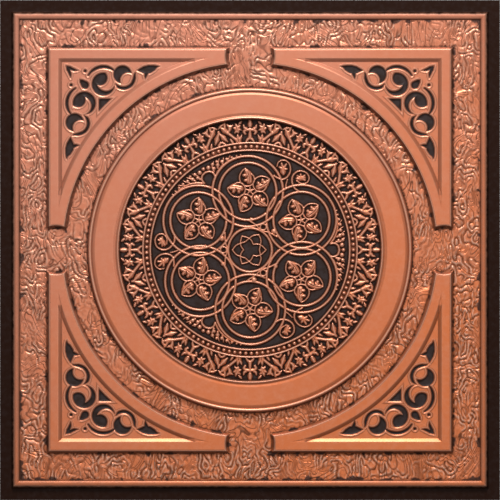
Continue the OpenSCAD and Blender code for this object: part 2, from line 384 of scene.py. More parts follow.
# the spray in the gap at 0 degrees, one half of it: stems and leaves as points, first, middle and last
# half width and height, then the knobs as (x, y, radius)
SPRAY = (
    (((80.4, 6.6), (83.8, 11.4), (86.2, 17), (87.6, 24), (87.6, 32)), 1.4, 1.3, 0.8, 0.8),
    (((80.6, 6.4), (84.4, 6.6), (87.8, 4.4), (89.2, 0)), 1.3, None, 1.3, 0.95),
    (((86, 8), (90.4, 8.6), (94.4, 12.2)), 1.4, None, 0.5, 0.95),
    (((87, 13), (91.4, 16.2), (94.2, 18.8)), 1.4, None, 0.5, 0.95),
    (((88, 19), (91, 22), (93, 23)), 1.2, None, 0.5, 0.9),
    (((88, 25), (90.4, 28.2), (91.6, 29.8)), 1.1, None, 0.5, 0.9),
)
SPRAY_KNOBS = ((91.8, 5.0, 2.3), (92.6, 10.2, 2.0), (88.4, 9.4, 2.0), (93.0, 15.2, 1.7), (89.6, 14.4, 2.2),
               (90.4, 19.8, 2.0), (90.0, 25.2, 1.9), (88.9, 30.4, 1.6), (87.6, 35.2, 1.3), (86.6, 39.4, 1.0))
# single balls of the gap, as (radius, degrees, size, height)
SPRAY_BALLS = ((30.3, 37.5, 3.0, 1.15), (30.3, -32.5, 2.3, 1.0), (93.2, 0, 1.9, 1.05))

# half a point of each of the star's two triangles, as (radius, degrees), and their heights
STAR = ((0, ((16, 0), (12.4, 20), (9.6, 38), (6.4, 60)), 0.8),
        (60, ((17.6, 0), (14.6, 18), (11.4, 35), (9.4, 60)), 0.85))
STAR_LINE = 0.8


def lobe_circle(k, i):
    """Centre and radius of line i of lobe k."""
    turn = 30 + 60 * k
    out, aside, *radii = LOBE_FORMS[k % 2]
    return polar(LOBE_AT + out, turn) + polar(aside, turn + 90), radii[i]


def weave():
    """Crossings of the lobes' lines, and which line passes under."""
    crossings = []
    for k in range(LOBES):
        n = (k + 1) % LOBES
        for i in range(2):
            for j in range(2):
                a, ra = lobe_circle(k, i)
                b, rb = lobe_circle(n, j)
                gap = np.linalg.norm(b - a)
                along = (b - a) / gap
                across = np.array([along[1], -along[0]])
                s = (gap**2 + ra**2 - rb**2) / (2 * gap)
                if ra <= abs(s):
                    continue
                rise = math.sqrt(ra**2 - s**2)
                for side in (1, -1):
                    p = a + along * s + across * rise * side
                    first = (i + j + (side > 0)) % 2 == 0
                    crossings.append((p, (k, i) if first else (n, j)))
    return crossings


def lobe_lines(m):
    crossings = weave()
    for k in range(LOBES):
        for i in range(2):
            c, r = lobe_circle(k, i)
            unders = [p for p, who in crossings if who == (k, i)]

            def dip(x, y, unders=unders):
                f = np.ones(x.shape)
                for p in unders:
                    f *= 1 - UNDER_D * np.exp(-((np.hypot(x - p[0], y - p[1]) / UNDER_R) ** 2))
                return f

            m.ring(c, r, LINE, h=0.95, dip=dip)


def bud(m, c, degrees):
    """A teardrop of thin line, its tip outwards, with a plump scalloped leaf in one half of it."""
    m.stroke(placed(BUD_LINE, c, degrees), 0.8, 1.0, h=0.85, mid=1.0)
    m.stroke(placed(BUD_LEAF, c, degrees), 3.4, 0.5, h=1.2, mid=4.4)
    for x, y, r in BUD_SCALLOPS:
        m.stroke(placed(((x, y - 2.6), (x + 0.3, y)), c, degrees), r, r, h=1.1)
    for points, width, depth in BUD_VEINS:
        m.groove(placed(points, c, degrees), width, depth)


def small_flower(m, c, degrees):
    for k in range(5):
        m.stroke([c, c + polar(4.2, degrees + 72 * k)], 1.7, 0.6, h=0.9, mid=1.2)


def gap_loops(m):
    """Loops and curls in every second gap between two lobes."""
    for a in (60, 180, 300):
        m.ring(polar(26.4, a), 3.0, 1.05)
        for side in (-1, 1):
            m.stroke([polar(r, a + side * b) for r, b in GAP_BRACKET], 1.1, 1.0, h=0.95)
        for line, leaf, widths, heart, tips, tip_w in GAP_LOOPS:
            m.stroke(placed(line, (0, 0), a - 60), 1.25, 0.8, h=0.95)
            m.stroke(placed(leaf, (0, 0), a - 60), widths[0], widths[1], mid=widths[2])
            for tip in tips:
                m.stroke(placed((heart, tip), (0, 0), a - 60), 2.2, tip_w, h=0.95)
        m.stroke(placed(GAP_LINK, (0, 0), a - 60), 1.0, 0.7, h=0.85)


def gap_sprays(m):
    """Leafy sprays in the other gaps, lying along the lobes, with balls on the inner side."""
    for a in (0, 120, 240):
        for r, b, size, height in SPRAY_BALLS:
            m.ball(polar(r, a + b), size, h=height)
        for side in (-1, 1):
            for points, first, middle, last, height in SPRAY:
                m.stroke(placed(points, (0, 0), a, side), first, last, h=height, mid=middle)
            for x, y, size in SPRAY_KNOBS:
                m.ball(placed(((x, y),), (0, 0), a, side)[0], size, h=1.05)


def centre_star(m):
    m.ring((0, 0), CENTRE_R, LINE, h=0.95)
    for k in range(3):
        for turn, points, height in STAR:
            for side in (-1, 1):
                m.stroke([polar(r, 120 * k + turn + side * b) for r, b in points], STAR_LINE, h=height)


def medallion_relief(x, y):
    """Raised work inside the pearl band, in shares of the line height."""
    m = Relief(x / UNIT, y / UNIT)
    lobe_lines(m)
    for k in range(LOBES):
        c = polar(LOBE_AT, 30 + 60 * k)
        small_flower(m, c, 30 + 60 * k)
        for b in range(BUDS):
            turn = 30 + 60 * k + BUD_TURN + 360 / BUDS * b
            bud(m, c + polar(BUD_AT, turn), turn)
    gap_loops(m)
    gap_sprays(m)
    centre_star(m)
    return m.h


# Leaf and pearl bands
BAND_LINES = (
    # points as (degrees, radius), first and last half width, middle half width, height
    (((0, 131), (0, 126), (0, 121.4)), 1.5, 1.5, 1.9, 1.0),
    (((0, 120.6), (1.5, 120.7), (2.7, 122.4), (2.9, 125)), 1.7, 0.6, 1.6, 0.95),
    (((0, 120), (1.8, 119.8), (2.9, 118.2), (2.4, 116)), 1.7, 1.1, 1.5, 0.9),
    (((0, 119), (0, 115.2), (0, 112.4)), 1.0, 2.0, 1.5, 0.95),
    (((0, 111.8), (1.2, 110.3), (2.2, 107.6)), 1.4, 0.9, 1.4, 0.9),
    (((5.8, 117.4), (6, 121.4), (6.5, 127)), 0.8, 0.5, 2.8, 1.0),
    (((6, 122.6), (5.2, 123.6), (4.4, 124.6)), 1.5, 0.5, 1.3, 0.9),
    (((6, 121.2), (5.2, 120.8), (4.2, 119.8)), 1.7, 0.5, 1.5, 0.9),
    (((6, 119.8), (6.6, 119), (7.5, 117.6)), 1.6, 0.5, 1.4, 0.9),
    (((6, 121.6), (7, 122.2), (7.8, 123.2)), 1.7, 0.5, 1.4, 0.9),
    (((3.8, 128.8), (4.5, 127.2), (5.2, 125.8)), 0.7, 0.5, 1.3, 0.85),
    (((6.1, 106.4), (6.1, 109), (6.1, 111.6)), 3.4, 2.3, 3.1, 1.0),
    (((6.1, 110.6), (6.1, 113), (6.1, 115.8)), 1.9, 0.5, 1.7, 1.0),
    (((5.5, 110.4), (4.8, 112.4), (4, 115)), 1.7, 0.5, 1.5, 0.9),
    (((6.8, 110.2), (8.6, 113.8), (10.4, 117.9)), 1.6, 1.5, 1.4, 0.9),
    (((10.7, 118), (12, 121.8), (13.8, 126)), 1.4, 0.6, 2.6, 1.0),
    (((12.1, 122), (11.6, 125.6), (11.4, 130)), 1.5, 1.2, 1.4, 0.95),
    (((12, 128), (13.2, 127), (14.6, 124.6)), 1.3, 0.6, 1.5, 0.95),
    (((10.6, 119), (9.7, 121.6), (9.3, 124.4)), 1.0, 2.1, 1.5, 0.95),
    (((9.4, 124.4), (10, 125.8), (10.4, 127.6)), 1.5, 0.6, 1.3, 0.9),
    (((9.3, 124), (8.6, 124.8), (7.8, 125.6)), 1.4, 0.6, 1.2, 0.9),
    (((14.6, 119.2), (13.3, 114.8), (11.7, 110.2)), 1.1, 0.6, 2.5, 1.0),
    (((14.6, 110.6), (13.6, 108.8), (13, 107.2)), 1.2, 1.4, 1.4, 0.9),
    (((9.2, 108.6), (9.6, 110.2), (10, 112)), 1.4, 0.6, 1.3, 0.85),
    (((15, 121.8), (15, 119.6)), 1.0, 1.6, None, 0.9),
)
BAND_FULLNESS = 1.2
# scored lines: points as (degrees, radius), half width, depth
BAND_SCORES = (
    (((0.194, 122.2), (1.2, 121.6)), 0.7, 0.7),
    (((6, 107.4), (6, 110.8)), 0.5, 0.4),
    (((6.1, 119.6), (6.6, 123)), 0.45, 0.35),
)
BAND_MIDDLE = 118
PERIOD = 30.0
PEARL_AT = (RAIL_R + RAIL_IN) / 2


def band_relief(x, y):
    """Raised work of the leaf band, in shares of the leaf height. One half repeat is drawn."""
    turn = np.degrees(np.arctan2(y, x)) % PERIOD
    turn = np.minimum(turn, PERIOD - turn)
    r = np.hypot(x, y) / UNIT
    spread = BAND_MIDDLE * math.pi / 180
    m = Relief(turn * spread, r)
    for points, w0, w1, mid, h in BAND_LINES:
        w0, w1, mid = (w and w * BAND_FULLNESS for w in (w0, w1, mid))
        m.stroke([(a * spread, b) for a, b in points], w0, w1, h=h, mid=mid)
    for points, width, depth in BAND_SCORES:
        m.groove([(a * spread, b) for a, b in points], width, depth)
    return m.h


def pearl_relief(x, y):
    step = 2 * math.pi / PEARLS
    a = np.arctan2(y, x)
    off = (a / step - np.round(a / step)) * step
    r = np.hypot(x, y)
    d2 = (off * PEARL_AT) ** 2 + (r - PEARL_AT) ** 2
    return PEARL_H * np.sqrt(np.clip(1 - d2 / (PEARL_D / 2) ** 2, 0, 1))


# Corner scrollwork, in drawing units, for the half with y above x
# sunk strokes: points and half widths along them
SCROLL_STROKES = (
    (((171, 178.9), (175.5, 179.6), (180, 181.4), (184.8, 184.8)), (0.7, 2.0, 2.5, 0.3)),
    (((164.6, 164.6), (167.6, 167.6), (170.6, 170.6)), (4.6, 3.0, 0.3)),
    (((113.5, 178.5), (115, 175), (115.5, 171), (117.5, 166), (121, 162.8), (126, 161.3), (131, 162.5),
      (134.2, 165.7)), (0.5, 1.6, 2.2, 2.3, 2.3, 2.3, 2.1, 1.0)),
    (((88.5, 182.8), (93, 182.8), (97, 181.4), (101, 180.2), (105, 179.6), (109, 179.4), (114, 179)),
     (0.2, 1.7, 3.6, 4.8, 4.4, 2.6, 0.3)),
    (((103.4, 177), (104.2, 173), (104.6, 169)), (2.9, 1.8, 0.2)),
)
# sunk discs and the raised tongues in them: centre and radius
BIG_DISC, BIG_CHANNEL = ((146.4, 165.4), 12.2), 17.3
TONGUES = (((143.6, 167.8), 8.6), ((137.5, 174.5), 5.0))
TONGUE_BITE = ((149.8, 171.6), 8.2)
SMALL_DISC, SMALL_TONGUE = ((127.2, 175), 9.7), ((121.8, 169.2), 7.0)
DOT = ((164.5, 178.5), 2.2)
# the three-sided ground beside the arc: its two straight sides and its radius
WEDGE_SIDES, WEDGE_R = (151.5, 151.6), 203.9


def disc_sd(x, y, disc):
    (cx, cy), r = disc
    return np.hypot(x - cx, y - cy) - r


def stroke_sd(x, y, points, widths):
    pts = curve(points, STROKE_STEPS)
    w = np.interp(np.linspace(0, 1, len(pts)), np.linspace(0, 1, len(widths)), widths)
    inside, width = stroke_depth(x, y, pts, np.maximum(w, 0.05))
    return -inside * width


def scroll_sd(x, y):
    """Signed distance to the sunk parts of a corner's scrollwork, alike on both sides of the diagonal."""
    x, y = np.abs(x) / UNIT, np.abs(y) / UNIT
    u, v = np.minimum(x, y), np.maximum(x, y)
    tongue = np.minimum(disc_sd(u, v, TONGUES[0]), disc_sd(u, v, TONGUES[1]))
    tongue = np.maximum(tongue, -disc_sd(u, v, TONGUE_BITE))
    channel = [BIG_DISC[0] + polar(BIG_CHANNEL, a) for a in np.linspace(30, 130, 9)]
    parts = [stroke_sd(u, v, points, widths) for points, widths in SCROLL_STROKES]
    parts += [
        stroke_sd(u, v, channel, (1.4, 2.1, 2.3, 2.2, 1.4)),
        np.maximum(disc_sd(u, v, BIG_DISC), -tongue),
        np.maximum(disc_sd(u, v, SMALL_DISC), -disc_sd(u, v, SMALL_TONGUE)),
        disc_sd(u, v, DOT),
        np.maximum(np.maximum(u - WEDGE_SIDES[0], v - WEDGE_SIDES[1]), WEDGE_R - np.hypot(u, v)),
    ]
    return np.minimum.reduce(parts) * UNIT


def scroll_relief(x, y):
    """Height of the pocket floor's scrollwork: sunk grounds and their soft raised rim."""
    d = scroll_sd(x, y)
    pit = -SCROLL_D * ramp(-d, -0.25, 3.2)
    return pit, SCROLL_RIM_H * np.exp(-(((d - SCROLL_RIM_AT) / SCROLL_RIM_W) ** 2))


# Hammered field
SEED_WARP_X, SEED_WARP_Y, SEED_BURL, SEED_DENTS, SEED_FORCE, SEED_BLOTCH = 11, 21, 31, 51, 61, 71


def burl(x, y):
    """Height map whose contour lines the ripples follow, drawn out along the tile's length."""
    wx = x + 9 * clouds(x / 38, y / 50, SEED_WARP_X, 2)
    wy = y + 9 * clouds(x / 38, y / 50, SEED_WARP_Y, 2)
    return 4.6 * clouds(wx / 30, wy / 46, SEED_BURL)


def hammered(x, y):
    """Burl-like ripples of the field, from about -1 to 1."""
    step = 0.4
    phase = burl(x, y)
    slope = np.hypot(burl(x + step, y) - phase, burl(x, y + step) - phase) / step
    wave = 1 / np.maximum(slope, 1e-4)
    full = ramp(wave, 2.2, 4.2) * (1 - 0.75 * ramp(wave, 11, 26))
    share = phase - np.floor(phase) - 0.5
    vein = np.exp(-((share * np.minimum(wave, 12) / 0.95) ** 2))
    dome = np.cos(2 * np.pi * share)
    dents = clouds(x / 9, y / 9, SEED_DENTS, 2)
    force = 0.45 + 0.55 * ramp(clouds(x / 40, y / 40, SEED_FORCE, 2), -0.25, 0.15)
    return ((-0.3 * dome - 0.6 * vein) * full + 0.6 * dents) * force


def field_height(x, y):
    d = np.maximum(np.abs(x), np.abs(y))
    r = np.hypot(x, y)
    edge = ramp(r, RING_R, RING_R + FIELD_EASE) * ramp(-d, -BORDER_IN, -BORDER_IN + FIELD_EASE)
    lump = 0.0
    for a in range(4):
        c = polar(NOTCH_AT + LUMP_SHIFT, 90 * a)
        lump = lump + np.exp(-((x - c[0]) ** 2 + (y - c[1]) ** 2) / LUMP_R**2)
    return (HAMMER_H * hammered(x, y) + LUMP_H * lump) * edge


# The whole face
def base_height(x, y):
    """The large forms only."""
    d = np.maximum(np.abs(x), np.abs(y))
    r = np.hypot(x, y)
    round_part = follow(ROUND_PATH, r)
    square = follow(SQUARE_PATH, d)
    q = np.hypot(d - NOTCH_AT, np.minimum(np.abs(x), np.abs(y)))
    plate = np.minimum(np.minimum(follow(OUTER_WALL, d), follow(ARC_WALL, r)), follow(NOTCH_WALL, q))
    plate = np.minimum(plate, np.maximum(follow(POCKET_WALL, d), follow(POCKET_CURVE, r)))
    return np.where(r < RING_R, round_part, np.maximum(square, np.where(d < BORDER_IN, plate, 0)))


def plate_inset(x, y):
    """How far inside the foot of a corner plate each point lies. It is below 0 outside."""
    d = np.maximum(np.abs(x), np.abs(y))
    r = np.hypot(x, y)
    q = np.hypot(d - NOTCH_AT, np.minimum(np.abs(x), np.abs(y)))
    return np.minimum(np.minimum(PLATE_OUT - d, r - PLATE_ARC), q - NOTCH_R)


def pocket_inset(x, y):
    """How far inside the foot of a pocket's wall each point lies."""
    d = np.maximum(np.abs(x), np.abs(y))
    return np.minimum(POCKET_OUT - POCKET_LEAN - d, np.hypot(x, y) - POCKET_ARC - POCKET_LEAN)


def face_height(x, y):
    """The face with all its relief, and the fine relief alone."""
    z = base_height(x, y)
    r = np.hypot(x, y)
    d = np.maximum(np.abs(x), np.abs(y))
    fine = np.zeros(x.shape)
    i = np.nonzero(r < DISC_R)[0]
    fine[i] = LINE_H * medallion_relief(x[i], y[i])
    i = np.nonzero((r > RAIL_IN) & (r < RAIL_R))[0]
    fine[i] = np.maximum(z[i], Z_GROUND + pearl_relief(x[i], y[i])) - z[i]
    i = np.nonzero((r > RAIL_R) & (r < RING_IN + 1))[0]
    fine[i] = np.maximum(z[i], Z_GROUND + LEAF_H * band_relief(x[i], y[i])) - z[i]
    off = plate_inset(x, y)
    edge = off - PLATE_LEAN - RIM_IN
    groove = -RIM_D * np.maximum(1 - (edge / RIM_HALF) ** 2, 0) ** 2
    fine = np.where((r > RING_R) & (np.abs(edge) < RIM_HALF), groove, fine)
    i = np.nonzero((r > RING_R) & (d < BORDER_IN) & (off < 0.8))[0]
    fine[i] = field_height(x[i], y[i]) * ramp(-off[i], -0.6, 1.6)
    inner = pocket_inset(x, y)
    i = np.nonzero((off > 0) & (inner > 0))[0]
    pit, rim = scroll_relief(x[i], y[i])
    fine[i] = np.where(pit < -0.02, pit, 0) + rim * ramp(inner[i], 0, 1.0)
    return z + fine, fine


# Meshes of the plan
def hex_disc(n, r):
    """Points and triangles of a disc: six more points on each ring."""
    pts = [np.zeros((1, 2))]
    for k in range(1, n + 1):
        pts.append(polar(r * k / n, np.arange(6 * k) * 60.0 / k))
    start = np.cumsum([0] + [len(p) for p in pts])
    tris = []
    for k in range(n):
        for s in range(6):
            i = np.arange(k + 1)
            outer = start[k + 1] + (s * (k + 1) + i) % (6 * (k + 1))
            outer2 = start[k + 1] + (s * (k + 1) + i + 1) % (6 * (k + 1))
            inner = start[k] + ((s * k + i) % (6 * k) if k else i * 0)
            tris.append(np.stack([inner, outer, outer2], 1))
            if k:
                j = np.arange(k)
                a = start[k] + (s * k + j) % (6 * k)
                b = start[k] + (s * k + j + 1) % (6 * k)
                c = start[k + 1] + (s * (k + 1) + j + 1) % (6 * (k + 1))
                tris.append(np.stack([a, c, b], 1))
    return np.vstack(pts), np.vstack(tris)


def annulus(radii, columns):
    """Points and triangles of a flat ring, one row of columns to a radius."""
    a = np.arange(columns) * 360.0 / columns
    tris = []
    i = np.arange(columns)
    j = (i + 1) % columns
    for k in range(len(radii) - 1):
        p, q = k * columns, (k + 1) * columns
        if k % 2:
            tris += [np.stack([p + i, q + i, q + j], 1), np.stack([p + i, q + j, p + j], 1)]
        else:
            tris += [np.stack([p + i, q + i, p + j], 1), np.stack([p + j, q + i, q + j], 1)]
    return np.vstack([polar(r, a) for r in radii]), np.vstack(tris)


def between(lo, hi, step):
    n = max(1, int(round((hi - lo) / step)))
    return list(np.linspace(lo, hi, n + 1))


def corner_radii(path, lo, hi, widest):
    """Radii at the corners of a path, with more where they lie far apart."""
    inside = sorted({round(v, 4) for v in path[:, 0] if lo < v < hi} | {lo, hi})
    keep = [inside[0]]
    for v in inside[1:]:
        if v - keep[-1] > 0.12 or v == hi:
            keep += between(keep[-1], v, widest)[1:]
    return keep


def feature_lines():
    """Arcs, straight sides and notch circles that an eighth's points follow, as (kind, place)."""
    lines = []
    arc_foot, side_foot, notch_foot = PLATE_ARC + PLATE_LEAN, PLATE_OUT - PLATE_LEAN, NOTCH_R + PLATE_LEAN
    for kind, places, lo, hi in (
        ("arc", [*ARC_WALL[:, 0], *(arc_foot + k for k in RIM_STEPS)], PLATE_ARC - 1.2, arc_foot + RIM_REACH),
        ("arc", POCKET_CURVE[:, 0], POCKET_ARC - 1.0, POCKET_ARC + POCKET_LEAN + 1.0),
        ("side", [*OUTER_WALL[:, 0], *(side_foot - k for k in RIM_STEPS)],
         side_foot - RIM_REACH, PLATE_OUT + 1.2),
        ("side", POCKET_WALL[:, 0], POCKET_OUT - POCKET_LEAN - 1.0, POCKET_OUT + 1.0),
        ("side", SQUARE_PATH[:, 0], BORDER_IN - 1.0, BORDER_OUT + 1.0),
        ("notch", [*NOTCH_WALL[:, 0], *(notch_foot + k for k in RIM_STEPS)],
         NOTCH_R - 1.2, notch_foot + RIM_REACH),
    ):
        kept = [lo]
        for v in sorted(v for v in places if lo < v < hi) + [hi]:
            if v - kept[-1] > 0.2:
                kept.append(v)
        lines += [(kind, v) for v in kept]
    return lines


def line_points(kind, v):
    """Points along one feature line of the eighth, where that line is part of the face."""
    if kind == "arc":
        n = int(v * math.pi / 4 / LINE_STEP)
        p = polar(v, np.linspace(0, 45, n + 1)[1:-1])
    elif kind == "side":
        n = int(v / LINE_STEP)
        y = np.linspace(0, v, n + 1)[1:-1]
        p = np.stack([np.full(y.shape, v), y], 1)
    else:
        n = int(v * math.pi / LINE_STEP)
        p = polar(v, np.linspace(0, 180, n + 1)[1:-1]) + np.array([NOTCH_AT, 0])
    on_plate = plate_inset(p[:, 0], p[:, 1]) > -1.6
    if kind == "arc":
        ok = on_plate & ((v <= PLATE_ARC + PLATE_LEAN + 2) | (p[:, 0] < POCKET_OUT + 0.5))
    elif kind == "side":
        ok = on_plate | (v >= PLATE_OUT + 2)
        ok &= (v >= POCKET_OUT + 2) | (np.hypot(p[:, 0], p[:, 1]) > POCKET_ARC - 0.5)
    else:
        ok = on_plate & (p[:, 0] > PLATE_ARC * 0.98) & (p[:, 0] < PLATE_OUT + 1.5)
    return p[ok]


class Scatter:
    """Points kept apart from each other, found through a grid of cells."""

    CELL = 2

    def __init__(self):
        self.kept = []
        self.cells = {}

    def add(self, px, py, gap):
        """Keep the point if no other lies nearer than the gap."""
        cx, cy = int(px // self.CELL), int(py // self.CELL)
        for i in (cx - 1, cx, cx + 1):
            for j in (cy - 1, cy, cy + 1):
                for qx, qy in self.cells.get((i, j), ()):
                    if (qx - px) ** 2 + (qy - py) ** 2 < gap * gap:
                        return
        self.kept.append((float(px), float(py)))
        self.cells.setdefault((cx, cy), []).append(self.kept[-1])


def eighth():
    """Points and triangles of the eighth x > y > 0 outside the ring moulding. All eighths share the
    points on the axis and the diagonal, so that they meet."""
    points = Scatter()
    edge = polar(RING_R, np.arange(COLUMNS // 8 + 1) * 360.0 / COLUMNS)
    axis, diagonal, rim = seam_points()
    for px, py in np.vstack([edge, np.stack([axis, 0 * axis], 1), np.stack([diagonal, diagonal], 1), rim]):
        points.add(px, py, 1e-6)
    for kind, v in feature_lines():
        for px, py in line_points(kind, v):
            if py > 0.15 and px - py > 0.2:
                points.add(px, py, 0.19)
    for step, region in ((POCKET_STEP, "pocket"), (FIELD_STEP, "field"), (FLAT_STEP, "flat")):
        gx = np.arange(RING_R * 0.7, HALF, step * math.sqrt(3) / 2)
        x, y = np.meshgrid(gx, np.arange(0, HALF, step), indexing="ij")
        y = y + (np.arange(len(gx)) % 2 * step / 2)[:, None]
        x, y = x.ravel(), y.ravel()
        off = plate_inset(x, y)
        inside = (y > 0.4 * step) & (x - y > 0.6 * step) & (x < HALF - 0.5 * step)
        inside &= np.hypot(x, y) > RING_R + 0.5 * step
        is_pocket = (off > 0) & (pocket_inset(x, y) > 0.9)
        is_field = (x < BORDER_IN - 0.8) & (off < -0.8)
        mask = {"pocket": is_pocket, "field": is_field, "flat": ~is_pocket & ~is_field}[region]
        gap = 0.62 * step if region != "flat" else min(0.5 * step, 2.0)
        for px, py in zip(x[inside & mask], y[inside & mask]):
            points.add(px, py, gap)
    pts, _, faces = delaunay_2d_cdt(points.kept, [], [], 0, 1e-5)[:3]
    pts = np.array([tuple(p) for p in pts])
    tris = np.array(faces)
    a, b, c = (pts[tris[:, k]] for k in range(3))
    area = (b[:, 0] - a[:, 0]) * (c[:, 1] - a[:, 1]) - (b[:, 1] - a[:, 1]) * (c[:, 0] - a[:, 0])
    tris[area < 0] = tris[area < 0][:, ::-1]
    on_arc = np.hypot(pts[:, 0], pts[:, 1]) < RING_R + 1e-3
    return pts, tris[~on_arc[tris].all(1) & (np.abs(area) > 1e-7)]


def seam_points():
    """Places along an eighth's axis and diagonal, and its points on the tile's edge."""
    sides = [v for kind, v in feature_lines() if kind == "side"]
    arcs = [v for kind, v in feature_lines() if kind == "arc"]
    field = [v for v in between(RING_R, HALF, LINE_STEP) if v < BORDER_IN - 1.6]
    border = [v for v in sides if v > PLATE_OUT + 3]
    axis = np.array(sorted(field + border + between(BORDER_OUT + 2.5, HALF, 3.0)))
    root2 = math.sqrt(2)
    diagonal = [RING_R / root2]
    for v in sorted(sides + [v / root2 for v in arcs]) + [HALF]:
        lo = diagonal[-1]
        if v - lo < 0.14 and v < HALF:
            continue
        wide = 0.85 if lo > (POCKET_ARC - 1) / root2 and v < POCKET_OUT + 1 else 1.2
        diagonal += between(lo, v, wide)[1:]
    rim = np.array([(HALF, v) for v in between(0, HALF, 6.03)[1:-1]])
    return axis, np.array(diagonal), rim


def all_round(pts, tris):
    """Eight copies of an eighth, mirrored and turned about the centre."""
    many, faces, base = [], [], 0
    for c, s in ((1, 0), (0, 1), (-1, 0), (0, -1)):
        for mirror in (False, True):
            p = pts[:, ::-1] if mirror else pts
            many.append(np.stack([p[:, 0] * c - p[:, 1] * s, p[:, 0] * s + p[:, 1] * c], 1))
            faces.append((tris[:, ::-1] if mirror else tris) + base)
            base += len(pts)
    return np.vstack(many), np.vstack(faces)


def weld(pts, tris):
    """Points that fall on one place become one point."""
    key = np.round(pts * 2000).astype(np.int64)
    flat = key[:, 0] * 4000003 + key[:, 1]
    _, first, back = np.unique(flat, return_index=True, return_inverse=True)
    tris = back.ravel()[tris]
    good = (tris[:, 0] != tris[:, 1]) & (tris[:, 1] != tris[:, 2]) & (tris[:, 0] != tris[:, 2])
    return pts[first], tris[good]


def plan(parts):
    pts, tris, base = [], [], 0
    for p, t in parts:
        pts.append(p)
        tris.append(t + base)
        base += len(p)
    return weld(np.vstack(pts), np.vstack(tris))


def vertex_normals(v, tris):
    a, b, c = v[tris[:, 0]], v[tris[:, 1]], v[tris[:, 2]]
    n = np.cross(b - a, c - a)
    out = np.zeros(v.shape)
    for k, (p, q, r) in enumerate(((a, b, c), (b, c, a), (c, a, b))):
        u, w = q - p, r - p
        cos = (u * w).sum(1) / np.maximum(np.linalg.norm(u, axis=1) * np.linalg.norm(w, axis=1), 1e-12)
        angle = np.arccos(np.clip(cos, -1, 1))
        for axis in range(3):
            out[:, axis] += np.bincount(tris[:, k], n[:, axis] * angle, len(v))
    return out / np.maximum(np.linalg.norm(out, axis=1, keepdims=True), 1e-12)


# Cavities, for the patina, the painted shade and the painted highlights
GRID = 0.6
CAVITY_REACH = 1.3
FAR = 9               # a distance at which a line lays no wash


def blurred(z, sigma):
    reach = int(3 * sigma) + 1
    k = np.exp(-0.5 * (np.arange(-reach, reach + 1) / sigma) ** 2)
    n = len(z)
    size = 1 << int(math.ceil(math.log2(n + 2 * reach)))
    f = np.fft.rfft(k / k.sum(), size)
    z = np.pad(z, reach, mode="edge")
    for _ in range(2):
        wave = np.fft.rfft(z, size, axis=0) * f[:, None]
        z = np.fft.irfft(wave, size, axis=0)[2 * reach : 2 * reach + n].T
    return z


def cavity_map():
    """Places of a square grid and how far each of its points lies below its surroundings."""
    g = np.arange(-HALF + GRID / 2, HALF, GRID)
    x, y = np.meshgrid(g, g, indexing="ij")
    z = face_height(x.ravel(), y.ravel())[0].reshape(x.shape)
    return g, blurred(z, CAVITY_REACH / GRID) - z


def sampled(g, image, x, y):
    u = np.clip((x - g[0]) / GRID, 0, len(g) - 1.001)
    v = np.clip((y - g[0]) / GRID, 0, len(g) - 1.001)
    i, j = u.astype(int), v.astype(int)
    fu, fv = u - i, v - j
    return (
        image[i, j] * (1 - fu) * (1 - fv)
        + image[i + 1, j] * fu * (1 - fv)
        + image[i, j + 1] * (1 - fu) * fv
        + image[i + 1, j + 1] * fu * fv
    )


def line_patina_and_shade(x, y, d, r, off, scroll):
    """Brown patina in grooves and along the feet of walls, and painted shade at the feet of the pockets'
    walls, less on those that face the light.
    """
    # painted shade: pocket walls that face the light get less brown at their feet
    faces_light = (-y > np.abs(x)) * 1.0
    arc_faces_light = ramp(y / np.maximum(r, 1), 0.2, 0.7)
    side_foot = np.where((off > 2) & (r > POCKET_ARC), d - POCKET_OUT + POCKET_LEAN - 0.6, FAR)
    arc_foot = np.where((off > 2) & (d < POCKET_OUT), r - POCKET_ARC - POCKET_LEAN + 0.6, FAR)
    wash = np.zeros(x.shape)
    for reach, width, share in (
        (r - RING_R - 0.2, 0.9, 1.0),
        (r - RING_IN + 0.3, 0.9, 1.0),
        (r - (RING_IN + LIP_W + GROOVE_W / 2), 0.45, 0.45),
        (r - (RING_R - BEAD_W - GROOVE_W / 2), 0.6, 0.6),
        (off + 0.4, 0.8, 0.4),
        (np.where(off < 0, off, FAR), 3.0, 0.12),
        (np.where(off >= 0, off, FAR), 2.0, 0.12),
        (off - PLATE_LEAN - RIM_IN, 0.5, 0.35),
        # painted shade: a thin brown line just outside the scrollwork's pits
        (np.where(off > 5, scroll - 1.7, FAR), 0.55, 0.5),
        # painted shade at the feet of the pockets' walls, weaker where they face the light
        (side_foot, 0.6, 0.7 - 0.6 * faces_light),
        (arc_foot, 0.6, 0.7 - 0.3 * arc_faces_light),
        (d - BORDER_IN, 1.3, 0.75),
    ):
        wash = np.maximum(wash, share * np.exp(-((reach / width) ** 2)))
    return wash


def painted_wall_shade(x, y, step=0.25):
    """Painted shade: brown on steep walls, much less on those that face the light."""
    fall_x = (base_height(x + step, y) - base_height(x - step, y)) / (2 * step)
    fall_y = (base_height(x, y + step) - base_height(x, y - step)) / (2 * step)
    return ramp(np.hypot(fall_x, fall_y), 0.45, 1.2) * (0.72 - 0.62 * ramp(-fall_y, 0.1, 0.9))


def black_ground(d, r, off, fine):
    """Black left in the sunk grounds of the medallion, the leaf band and the scrollwork."""
    inside = r < RING_IN + 1.2
    sunk = 1 - ramp(np.where(inside, fine, 0), 0.15, 0.7)
    black = np.where(r < DISC_R + 0.4, sunk, 0)
    leaf = inside & (r > RAIL_R + RAIL_W * 0.42)
    black = np.where(leaf, sunk * ramp(-r, -RING_IN - 0.6, -RING_IN + 0.8), black)
    pocket = (off > 0) & (d < POCKET_OUT - POCKET_LEAN + 0.5) & (r > POCKET_ARC + POCKET_LEAN - 0.5)
    return np.where(pocket, ramp(-fine, 0.12, 0.75), black)


